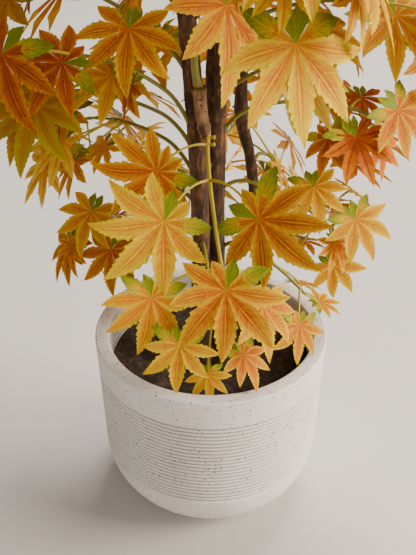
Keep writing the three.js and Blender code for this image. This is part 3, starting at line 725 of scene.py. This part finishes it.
def settle(plan, index, leaf, standing, around, crowded, apart):
    """Whether a grown leaf may stay, with its samples kept for the next ones."""
    own = (leaf["palm"] - plan["heart"]).length
    if any((other["palm"] - leaf["palm"]).length < crowded * LEAF_RADIUS for other in standing[index]):
        return False
    if any((leaf["palm"] - m["heart"]).length < own for m in MASSES if m is not plan):
        return False
    leaf["samples"] = samples(leaf)
    if leaf["samples"][:, 2].min() < LOWEST_LEAF or clear_of(leaf["samples"], around) < CLEARANCE:
        return False
    for other in (other for group in standing for other in group):
        if (other["palm"] - leaf["palm"]).length < 3 * LEAF_RADIUS:
            if touching(leaf["samples"], other["samples"], apart):
                return False
    return True


def detail_of(palm, finer=False):
    """How finely a leaf is made, by where it is seen from the front: close up, plainly or hardly."""
    if not finer and palm.y < NEAR_BEHIND and palm.z < NEAR_ABOVE:
        return "near"
    return "seen" if palm.y < SEEN_BEHIND and palm.z < SEEN_ABOVE else "far"


def grow_all():
    """Every mass's leaves, by the rule of the solid model."""
    standing = [placed_leaves(plan, i + 1) for i, plan in enumerate(MASSES)]
    for leaf in (leaf for group in standing for leaf in group):
        leaf["samples"] = samples(leaf)
        leaf["detail"] = "near"
    for i, plan in enumerate(MASSES):
        around = runs_about(plan)
        for leaf in grown_leaves(plan, i + 1, plan["pairs"]) if plan["pairs"] else []:
            if settle(plan, i, leaf, standing, around, CROWDED, LEAF_APART):
                leaf["detail"] = detail_of(leaf["palm"])
                standing[i].append(leaf)
    return standing


leaves = grow_all()
print("leaves that the solids have too:", sum(map(len, leaves)))

# %% [markdown]
# ## Finer leaves
# The real crown is fuller than the solid one. The same rule runs again with more, smaller leaves on shorter
# stalks, and those that stay inside the box of their own mass fill it up. The mass in front of the bare
# stems stays open, because the bark shows through there.

# %% Fill the masses up
OPEN_MASSES = ("foliage_front",)
FINER_PAIRS = 34
FINER_APART = 2.6
FINER_CROWDED = 0.22
FINER_SHARES = (0.25, 0.98)
FINER_SIZES = (0.5, 0.85)
FINER_REACHES = (0.4, 1.8)
FINER_SEED = 201
BOX_MARGIN = 4


def fill_up(standing):
    """Adds the finer leaves and returns how many stayed."""
    boxes = []
    for group in standing:
        spots = np.concatenate([leaf["samples"] for leaf in group])
        boxes.append((spots.min(0) - BOX_MARGIN, spots.max(0) + BOX_MARGIN))
    added = 0
    for i, plan in enumerate(MASSES):
        around = runs_about(plan)
        if not plan["pairs"] or plan["name"] in OPEN_MASSES:
            continue
        low, high = boxes[i]
        finer = grown_leaves(plan, i + FINER_SEED, FINER_PAIRS, FINER_SHARES, FINER_SIZES, FINER_REACHES)
        for leaf in finer:
            if not settle(plan, i, leaf, standing, around, FINER_CROWDED, FINER_APART):
                continue
            if (leaf["samples"] < low).any() or (leaf["samples"] > high).any():
                continue
            leaf["detail"] = detail_of(leaf["palm"], finer=True)
            standing[i].append(leaf)
            added += 1
    return added


print("finer leaves:", fill_up(leaves))

# %% [markdown]
# ## One leaf
# A leaf is cut from printed cloth and pressed: nine pointed lobes with saw teeth, a crease along each lobe
# and fine side veins that slant forward. The lobes are one web near the stalk and part at about a third of
# the radius. Each lobe starts as a flat grid whose columns run along it and whose rows slant like the
# veins, and the corners are then moved into the lobe's shape. Two rows make one tooth: a short one for the
# vein, which ends in the notch, and a long one for the blade up to the next point. A leaf that is seen close
# up has many columns and teeth, one that is seen plainly has a few, and the many others get by with a few
# dozen faces. Sizes on a lobe are shares of the leaf's radius.

# %% Shape of a lobe
LOBE_ANGLES = (-160, -120, -80, -40, 0, 40, 80, 120, 160)
LOBE_SHARES = (0.42, 0.64, 0.8, 0.93, 1, 0.93, 0.8, 0.64, 0.42)
MIDRIB = 0.07
BESIDE = 0.24
DETAILS = {
    "near": {"columns": (0, MIDRIB, BESIDE, 0.6, 0.88, 1), "teeth": 11},
    "seen": {"columns": (0, 0.2, 1), "teeth": 4},
    "far": {"columns": (0, 1), "teeth": 2},
}
SPREAD = math.tan(math.radians(20))
PARTED = 0.32
HALF_WIDTH = 0.166
WIDEST = 0.46
NARROWED = 0.97
BULGE = 0.75
SLANT = 1.05
FOLD = 0.22
VEIN_RISE = 0.004
VEIN_SHARE = 0.2
PLEATED_FROM = 0.3
TOOTH = (1.07, 0.87)
WAVE = 0.014
WAVES = 7
BENT_FROM = 0.4


def half_width(x, share):
    """Half a lobe's width at a share x of its length, for a leaf of radius 1."""
    parted = min(PARTED, 0.5 * share) / share
    widest = max(WIDEST, parted + 0.08)
    full = HALF_WIDTH * (0.3 + 0.7 * share)
    if x < parted:
        return SPREAD * x * share
    notch = NARROWED * SPREAD * parted * share
    if x < widest:
        return notch + (full - notch) * math.sin((x - parted) / (widest - parted) * math.pi / 2)
    s = (x - widest) / (1 - widest)
    return full * (1 - s) * (1 + BULGE * s)


def lobe_place(lobe, share, u, t, notch, bend):
    """Where a corner goes on a leaf of radius 1: u runs across its lobe and t along it."""
    x = t + SLANT * abs(u) * half_width(t, share) / share
    width = half_width(x, share)
    if abs(u) == 1 and x * share > PARTED:
        width *= TOOTH[notch]
    r, side = x * share, u * width
    turn = math.radians(LOBE_ANGLES[lobe]) + bend[0] * max(0, x - BENT_FROM) ** 2
    pleat = (VEIN_RISE if notch else -VEIN_RISE) * (1 - u * u) * min(1, t / PLEATED_FROM)
    wave = WAVE * u * u * x * math.sin(WAVES * x + bend[2])
    lift = FOLD * abs(side) + pleat + wave - TIP_DROP * r * r * (1 + bend[1])
    return (r * math.sin(turn) + side * math.cos(turn), r * math.cos(turn) - side * math.sin(turn), lift)


print("half a lobe's width by share:", [round(half_width(t / 5, 1), 3) for t in range(6)])

# %% [markdown]
# ## The print on a leaf
# The print runs from an orange heart through amber to a yellow edge. The midrib is a thin pale line. The band
# beside it is darker, partly the print's own deeper orange and partly painted shade of the crease along the
# midrib. The side veins are pale, and the small lobes at the heel are green. Each face of the mesh is given
# one of a few plain inks by its place on the lobe, with a little mottling, so the print is as sharp as the
# mesh and needs no picture. Five families of inks are dealt out by spray.

# %% Inks
INKS = {
    "amber": ("A84600", "CC8600", "DEC400"),
    "gold": ("BC6400", "D4A200", "E0CE00"),
    "rust": ("943800", "BC6600", "D4A400"),
    "peach": ("D68A18", "EEC034", "F8E656"),
    "olive": ("B86C04", "BC9C00", "989E0A"),
}
INK_STEPS = 8
GREENS = ("C8AA00", "AA9C08", "8C8E14", "768216")


def shades(codes, count):
    """Even steps through three hex colours."""
    made = []
    for i in range(count):
        place = 2 * i / (count - 1)
        low = min(1, int(place))
        pairs = [(int(codes[low][k : k + 2], 16), int(codes[low + 1][k : k + 2], 16)) for k in (0, 2, 4)]
        made.append("".join(f"{round(between(pair, place - low)):02X}" for pair in pairs))
    return made


def printed_leaf(name, code):
    """Polyester cloth, printed and hot pressed: a soft low gloss with the fine grain of a weave."""
    values = {"Base_Color": linear(code), "Roughness": 0.62, "IOR": 1.45, "Specular_IOR_Level": 0.15}
    made, tree, shader, place = new_material("printed polyester leaf, " + name, **values)
    bump(tree, shader, cloudy(tree, place, 1400.0, 2.0), 0.05, 0.4)
    return made


greens = [printed_leaf(f"green {i + 1}", code) for i, code in enumerate(GREENS)]
inks = {}
for tint, codes in INKS.items():
    made = [printed_leaf(f"{tint} {i + 1}", code) for i, code in enumerate(shades(codes, INK_STEPS))]
    inks[tint] = made + greens
print("inks of one family:", [material.name for material in inks["amber"]])


# %% Ink of a face
GREEN_HEELS = 0.75
GREEN_SIDES = 0.6
GREEN_EDGES = 0.4
HEART_SHADE = 0.02
TIP_PALER = 0.42
EDGE_PALER = 0.52
LOBE_SHADE = 0.06
LEAF_SHADE = 0.07
MOTTLE = 0.07
MIDRIB_PALER = 0.3
# darker beside the midrib: partly the print, partly painted shade of the crease
BESIDE_PRINT_AND_CREASE_SHADE = 0.1
VEIN_PALER = 0.12


def greenness(seed, lobe, u, x):
    """How green a place is, from 0: the heel is green, and so are some tips and edges beside it."""
    if lobe in (0, 8) and chance(seed, 90 + lobe) < GREEN_HEELS:
        return 0.95 - 0.35 * u * u
    if lobe in (1, 7) and chance(seed, 70 + lobe) < GREEN_SIDES:
        return 1.5 * (x - 0.3) + 0.3 * u * u
    if u > 0.85 and x > 0.35 and chance(seed, 80 + lobe) < GREEN_EDGES:
        return 0.3
    return 0


def ink_of(seed, lobe, u, x, vein):
    """The number of the ink for a face at a place on a lobe."""
    shade = HEART_SHADE + TIP_PALER * x + EDGE_PALER * u**1.8
    shade += sway(LOBE_SHADE, seed, lobe, 32)
    shade += sway(LEAF_SHADE, seed, 33)
    shade += sway(MOTTLE, seed, lobe, round(100 * x), round(100 * u))
    if u < MIDRIB:
        shade += MIDRIB_PALER
    # beside the midrib the ink is darker: partly the print, partly painted shade of the crease
    elif u < BESIDE:
        shade -= BESIDE_PRINT_AND_CREASE_SHADE
    elif vein:
        shade += VEIN_PALER
    green = greenness(seed, lobe, u, x) - (0.25 if u < MIDRIB or vein else 0)
    if green > 0.2:
        return INK_STEPS + min(len(GREENS) - 1, int(green * 4))
    return max(0, min(INK_STEPS - 1, int(shade * INK_STEPS)))


def make_leaf(leaf):
    """One leaf as a bmesh, in millimetres."""
    bm = bmesh.new()
    detail = DETAILS[leaf["detail"]]
    bounds, teeth, seed = detail["columns"], detail["teeth"], leaf["seed"]
    cells, rows = len(bounds) - 1, 2 * teeth
    place = Matrix(leaf["axes"]).transposed().to_4x4()
    place = Matrix.Translation(leaf["palm"]) @ place @ Matrix.Scale(leaf["radius"], 4)
    for lobe, share in enumerate(LOBE_SHARES):
        share *= 1 + sway(LOBE_VARIES, seed, 7 - lobe) * (0 < lobe < 8)
        bend = (sway(0.4, seed, lobe, 41), sway(0.4, seed, lobe, 42), 6 * chance(seed, lobe, 43))
        made = bmesh.ops.create_grid(bm, x_segments=2 * cells, y_segments=rows, size=0.5)["verts"]
        for f in {f for v in made for f in v.link_faces}:
            middle = f.calc_center_median()
            column = int(abs(middle.x) * 2 * cells)
            tooth, blade = divmod(int((middle.y + 0.5) * rows), 2)
            u = (bounds[column] + bounds[column + 1]) / 2
            t = (tooth + (VEIN_SHARE + blade) / 2) / teeth
            x = t + SLANT * u * half_width(t, share) / share
            f.material_index = ink_of(seed, lobe, u, x, not blade)
        for v in made:
            column = round(v.co.x * 2 * cells)
            tooth, notch = divmod(round((v.co.y + 0.5) * rows), 2)
            t = (tooth + VEIN_SHARE * notch) / teeth
            u = math.copysign(bounds[abs(column)], column)
            v.co = place @ Vector(lobe_place(lobe, share, u, t, notch, bend))
    return bm


for kind in DETAILS:
    alike = [leaf for group in leaves for leaf in group if leaf["detail"] == kind]
    test = make_leaf(alike[0])
    print(kind, "leaves:", len(alike), "faces of one:", len(test.faces))
    test.free()

# %% [markdown]
# ## All the leaves
# The leaves of one family of inks are one piece, which keeps the file small and lets each family have its
# own finish. Most leaves take their mass's family and a few take a neighbour's, as on the real spray. Some of
# the higher amber and golden ones are olive, and the olive leaves are a piece of their own. An operator takes
# longer on a larger bmesh, so each leaf is made alone and then gathered with the others.

# %% Make the leaves
NEIGHBOUR = {"amber": "gold", "gold": "amber", "rust": "amber", "peach": "gold"}
NEIGHBOUR_SHARE = 0.22
OLIVE_SHARE = 0.2
OLIVE_FROM = 350


def tint_of(plan, leaf):
    """The family of inks of one leaf."""
    if plan["name"] in OPEN_MASSES:
        return NEIGHBOUR[plan["tint"]]
    high = leaf["palm"].z > OLIVE_FROM
    if high and plan["tint"] in ("amber", "gold") and chance(leaf["seed"], 62) < OLIVE_SHARE:
        return "olive"
    return NEIGHBOUR[plan["tint"]] if chance(leaf["seed"], 61) < NEIGHBOUR_SHARE else plan["tint"]


def gathered(parts):
    """Many small bmeshes as one."""
    whole, carrier = bmesh.new(), bpy.data.meshes.new("carrier")
    for part in parts:
        part.to_mesh(carrier)
        part.free()
        whole.from_mesh(carrier)
    bpy.data.meshes.remove(carrier)
    return whole


for tint in INKS:
    every = [leaf for plan, group in zip(MASSES, leaves) for leaf in group if tint_of(plan, leaf) == tint]
    nodes = [plan["name"] for plan in MASSES if plan["tint"] == tint]
    bm = gathered(make_leaf(leaf) for leaf in every)
    finish_piece(bm, "leaves_" + tint, inks[tint], nodes, outward=False)

# %% [markdown]
# ## Tubes
# Stems, stalks and limbs are all tubes along a line. A flat grid is rolled round the line, its seam is
# merged and its ends are filled, and a function may swell or roughen it.


# %% Roll a tube
def tube(line, radius_at, sides, relief=None, ink=0):
    """A closed tube along a run of points, as a bmesh."""
    bm, rows, side, frames = bmesh.new(), len(line) - 1, None, []
    made = bmesh.ops.create_grid(bm, x_segments=sides, y_segments=rows, size=0.5)["verts"]
    for i, spot in enumerate(line):
        way = (line[min(i + 1, rows)] - line[max(i - 1, 0)]).normalized()
        side = way.orthogonal() if side is None else side
        side = (side - way * side.dot(way)).normalized()
        frames.append((spot, side, way.cross(side)))
    for v in made:
        i, turn = round((v.co.y + 0.5) * rows), round((v.co.x + 0.5) * sides) % sides / sides * math.tau
        spot, one, other = frames[i]
        out = one * math.cos(turn) + other * math.sin(turn)
        radius = radius_at(i / rows)
        v.co = spot + out * (radius + (relief(spot, out, radius) if relief else 0))
    bmesh.ops.remove_doubles(bm, verts=bm.verts, dist=0.0005)
    bmesh.ops.holes_fill(bm, edges=[e for e in bm.edges if e.is_boundary], sides=0)
    for face in bm.faces:
        face.material_index = ink
    return bm


test = tube([Vector((0, 0, z)) for z in range(5)], lambda share: 1, 8)
print("faces of a plain tube with two ends:", len(test.faces))
test.free()

# %% [markdown]
# ## Green stems and leaf stalks
# The stems are thin injection-moulded polyethylene over a wire, olive where they leave the bark and yellow
# green towards the leaves. Each has a small knuckle where a stalk is plugged in, and ends at its last stalk.
# Those at the side of a limb leave it steeply, close along the bark. The stem at the front is the paler one,
# with three short plugs near its top.

# %% Make the stems and stalks
STEM_RADII = (1.7, 1.2)
PLUG_RADII = (2.9, 1.5)
STALK_RADII = (0.85, 1.15)
FRONT_STEM = "foliage_front_low"
STEM_STEPS = 40
STALK_STEPS = 10
STEM_COLLAR = (0.8, 9)
KNUCKLE = (0.5, 2.5)
ARCH = 0.3
STEEP_SHARE = 0.26
STEEP_DROP = 17
PLUGS = ((0.02, -5.5), (0.05, 5.5), (0.14, 5.5))


def stem_radius(plan, group):
    """The radius along a stem: an even taper with a collar at its foot and knuckles at its stalks."""
    length = (plan["curve"][2] - plan["curve"][0]).length
    radii = STEM_RADII if plan["start"] else PLUG_RADII
    shares = sorted({round((leaf["root"] - plan["curve"][0]).length / length, 2) for leaf in group})

    def radius_at(share):
        collar = STEM_COLLAR[0] * max(0, 1 - share * length / STEM_COLLAR[1])
        near = min((abs(share - s) * length for s in shares), default=99)
        return between(radii, share) + collar + KNUCKLE[0] * max(0, 1 - near / KNUCKLE[1])

    return radius_at


def stem_line(plan):
    """The line of a stem up to its last stalk. One at the side of a limb starts lower and climbs steeply."""
    line = [on_bend(plan["curve"], LAST_FOOT * k / STEM_STEPS) for k in range(STEM_STEPS + 1)]
    if plan["start"] and plan["name"] != FRONT_STEM:
        for k, spot in enumerate(line):
            spot.z -= STEEP_DROP * max(0, 1 - k / STEM_STEPS / STEEP_SHARE) ** 2
    return line


def moulded_stem(name, code):
    """Polyethylene, injection moulded: a waxy half gloss, even in colour, with faint flow lines."""
    made, tree, shader, place = new_material(name, Base_Color=linear(code), Roughness=0.42, IOR=1.51)
    bump(tree, shader, cloudy(tree, place, 500.0, 2.0), 0.1, 0.3)
    return made


stem_material = moulded_stem("moulded polyethylene stem, olive", "7E7808")
stalk_material = moulded_stem("moulded polyethylene stalk, yellow green", "B8A618")
made = []
for plan, group in zip(MASSES, leaves):
    near = plan["name"] == FRONT_STEM
    made.append(tube(stem_line(plan), stem_radius(plan, group), 8, ink=int(near)))
    for leaf in group:
        curve = stalk_curve(leaf, ARCH if near else STALK_RISE)
        line = [on_bend(curve, k / STALK_STEPS) for k in range(STALK_STEPS + 1)]
        made.append(tube(line, lambda share: between(STALK_RADII, abs(1 - 2 * share)), 6, ink=1))
for share, reach in PLUGS:
    foot = on_bend(MASSES[0]["curve"], share)
    line = [foot + Vector((reach, -0.8, 1)) * (k / 4) for k in range(5)]
    made.append(tube(line, lambda share: 1 + 0.5 * (share > 0.6), 8, ink=1))
finish_piece(gathered(made), "stems_and_stalks", [stem_material, stalk_material], [])

# %% [markdown]
# ## Bark
# The thick stems are moulded plastic with a rough brown bark: long uneven ridges, small dark pits and a paler
# worn look on the high spots. The tubes get real relief from noise that is stretched along the stem, and the
# colour has a noise of its own that is stretched the same way.

# %% Lines of the limbs
RING_STEP = 2.6


def smooth_run(points, step):
    """A smooth line through the points of a limb, with a spot about every step."""
    run = [Vector(p) for p in points]
    run = [run[0] * 2 - run[1], *run, run[-1] * 2 - run[-2]]
    line = [run[1]]
    for a, b, c, d in zip(run, run[1:], run[2:], run[3:]):
        gaps = [max(0.01, (q - p).length ** 0.5) for p, q in ((a, b), (b, c), (c, d))]
        leave = (b - a) / gaps[0] - (c - a) / (gaps[0] + gaps[1]) + (c - b) / gaps[1]
        arrive = (c - b) / gaps[1] - (d - b) / (gaps[1] + gaps[2]) + (d - c) / gaps[2]
        leave, arrive = leave * gaps[1], arrive * gaps[1]
        count = max(2, round((c - b).length / step))
        for k in range(1, count + 1):
            t = k / count
            line.append(b + leave * t + (3 * (c - b) - 2 * leave - arrive) * t**2
                        + (2 * (b - c) + leave + arrive) * t**3)
    return line


print("spots on the right stem:", len(smooth_run(LIMBS["trunk_right"][0], RING_STEP)))


# %% Relief and material of the bark
RIDGE_WIDTH = 3.2
RIDGE_LENGTH = 26
RIDGE_RISE = 0.55
LUMP_WIDTH = 19
LUMP_RISE = 0.5
GRAIN_WIDTH = 2.2
GRAIN_RISE = 0.22
PAINT_SCALE = 330.0
SLEEVE_ROUGH = 0.35


def bark_relief(spot, out, radius):
    """How far the bark stands out at a spot: ridges along the stem, lumps and fine grain."""
    at = spot + out * radius
    ridge = noise.noise(Vector((at.x / RIDGE_WIDTH, at.y / RIDGE_WIDTH, at.z / RIDGE_LENGTH)))
    lump = noise.noise(at / LUMP_WIDTH)
    grain = noise.noise(at / GRAIN_WIDTH)
    return RIDGE_RISE * ridge + LUMP_RISE * lump + GRAIN_RISE * grain


def sleeve_relief(spot, out, radius):
    """The same on the smoother sleeve."""
    return SLEEVE_ROUGH * bark_relief(spot, out, radius)


def moulded_bark(name, *codes):
    """Polyethylene moulded as bark and painted: matt, darker in its grooves, with small dark pits."""
    made, tree, shader, place = new_material(name, Roughness=0.72, IOR=1.5)
    stretched = add_node(tree, "ShaderNodeMapping", Vector=place, Scale=(1, 1, 0.3)).outputs[0]
    ridges = cloudy(tree, stretched, PAINT_SCALE, 5.0)
    both = maths(tree, "MULTIPLY_ADD", cloudy(tree, place, 60.0, 3.0), 0.6, ridges)
    colour = ramp(tree, both, *zip((0.58, 0.8, 1.0), codes))
    pitted = mixed(tree, specks(tree, place, 4.5, 0.45, 0.26), colour, codes[0])
    tree.links.new(pitted, shader.inputs["Base Color"])
    bump(tree, shader, ridges, 0.9, 0.9)
    return made


bark = moulded_bark("moulded and painted bark", "1A0F07", "44280B", "765024")
sleeve = moulded_bark("moulded and painted sleeve", "44301A", "805C36", "A8855A")
print("painted ridges, mm:", round(1000 / PAINT_SCALE, 1))

# %% [markdown]
# ## Limbs
# Each limb tapers from point to point. A bough is plugged into its stem, so it starts a little inside and
# has a collar there. The short branch at the front is a paler sleeve with one ring and a lip, and the green
# stem is plugged into its top. It lies closer along the left stem than in the solid model, whose line the
# rule of the leaves still needs.

# %% Make the limbs
STEMS = ("trunk_left", "trunk_right", "back_stem")
SIDES = {"stem": 28, "bough": 18}
COLLAR_RISE = 1.6
COLLAR_LENGTH = 16
RING_AT = 0.45
RING_HALF = 0.05
RING_RISE = 0.9
LIP_FROM = 0.93
LIP_RISE = 0.8
SLEEVE = ([(-7, -3, 328), (-4.5, -9, 341), (-5.5, -15, 353), (-7.5, -18.5, 367), (-9, -19.5, 384)],
          [3.2, 4.2, 4.6, 4.7, 4.9])


def limb_radius(name, points, radii):
    """The radius along a limb, with a collar where a bough leaves its stem."""
    steps = [(Vector(q) - Vector(p)).length for p, q in zip(points, points[1:])]
    ends = [sum(steps[:i]) for i in range(len(steps) + 1)]

    def radius_at(share):
        along = share * ends[-1]
        i = max(1, next((k for k, end in enumerate(ends) if end >= along - 1e-6), len(ends) - 1))
        radius = between(radii[i - 1 : i + 1], (along - ends[i - 1]) / steps[i - 1])
        if name == "front_branch":
            ring = max(0, 1 - abs(share - RING_AT) / RING_HALF)
            return radius + RING_RISE * ring + (LIP_RISE if share > LIP_FROM else 0)
        if name not in STEMS:
            radius += COLLAR_RISE * max(0, 1 - along / COLLAR_LENGTH)
        return radius

    return radius_at


def make_limb(name, points, radii, material, relief):
    """One limb as a piece that takes the place of its node."""
    line = smooth_run(points, RING_STEP)
    if name.startswith("bough"):
        line = [line[0] - (line[1] - line[0]) * k for k in (3, 2, 1)] + line
    sides = SIDES["stem" if name in STEMS else "bough"]
    bm = tube(line, limb_radius(name, points, radii), sides, relief)
    finish_piece(bm, name + "_bark", [material], [name])


for name, (points, radii) in LIMBS.items():
    if name == "front_branch":
        make_limb(name, *SLEEVE, sleeve, sleeve_relief)
    else:
        make_limb(name, points, radii, bark, bark_relief)

# %% [markdown]
# ## Floor and lamps
# The floor is a plain pale sheet that isn't part of the object. One big lamp stands to the right, a weak one
# in front and one high up behind. They stand well away, so that near and far leaves get the same light,
# shadows stay soft and the leaves keep their colour.


# %% Stage
FLOOR_HALF = 6
LAMP_AIM = (0, 0, 0.35)


def make_floor():
    """A wide plain floor."""
    bm = bmesh.new()
    bmesh.ops.create_grid(bm, x_segments=1, y_segments=1, size=FLOOR_HALF)
    mesh = bpy.data.meshes.new("floor")
    bm.to_mesh(mesh)
    bm.free()
    mesh.materials.append(new_material("matt pale floor", Base_Color=linear("C9C5C1"), Roughness=0.6)[0])
    floor = bpy.data.objects.new("floor", mesh)
    bpy.context.collection.objects.link(floor)


def make_lamp(name, place, size, power, code):
    """A square soft lamp that looks at the middle of the plant."""
    data = bpy.data.lights.new(name, "AREA")
    data.size = size
    data.energy = power
    data.color = linear(code)[:3]
    lamp = bpy.data.objects.new(name, data)
    lamp.location = place
    aim = Vector(LAMP_AIM) - Vector(place)
    lamp.rotation_euler = aim.to_track_quat("-Z", "Y").to_euler()
    bpy.context.collection.objects.link(lamp)


make_floor()
make_lamp("key", (4.2, -0.5, 2.2), 2.2, 410, "FFF3E2")
make_lamp("fill", (0.8, -3.6, 2.4), 2.6, 58, "FFF8F0")
make_lamp("back", (0.9, 2.3, 4.2), 2.0, 310, "FFF6EA")
world = bpy.data.worlds.new("studio")
world.use_nodes = True
surround = world.node_tree.nodes["Background"].inputs
surround["Color"].default_value = linear("E8E4DE")
surround["Strength"].default_value = 0.28
bpy.context.scene.world = world
print("lamps:", len(bpy.data.lights))
